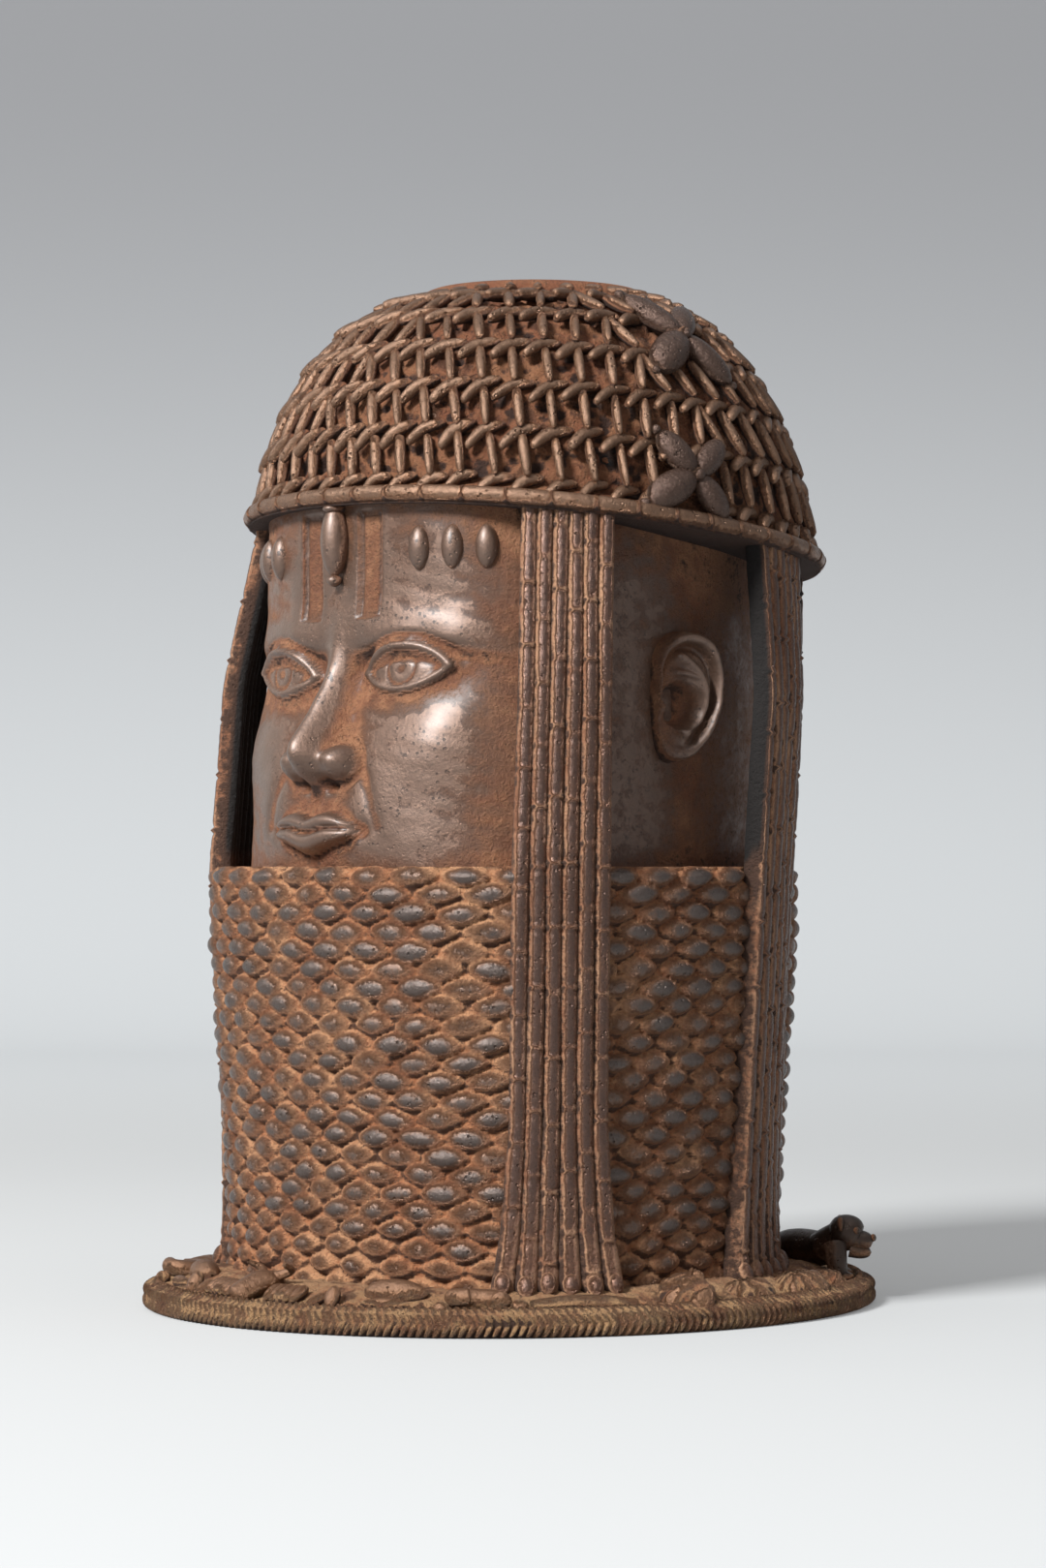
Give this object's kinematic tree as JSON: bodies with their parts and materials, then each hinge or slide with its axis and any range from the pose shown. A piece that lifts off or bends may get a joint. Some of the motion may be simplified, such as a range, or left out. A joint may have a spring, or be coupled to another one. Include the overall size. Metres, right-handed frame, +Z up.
{
  "type": "commemorative head sculpture",
  "caption": "Hollow cast head with a netted bead cap, hanging bead strands, a high bead collar and a round flange with animals.",
  "frame": {"origin": "middle of the underside of the flange", "axes": "+Z up through the head, the face looks along -Y, the figure's left side is +X"},
  "size_m": [0.33, 0.353, 0.475],
  "materials": {
    "bronze_patina": "dark brown cast brass, polished by handling on the high places, with rust-coloured earth in the hollows"
  },
  "bodies": {
    "root": {"cast_head": "bronze_patina"}
  },
  "joints": []
}
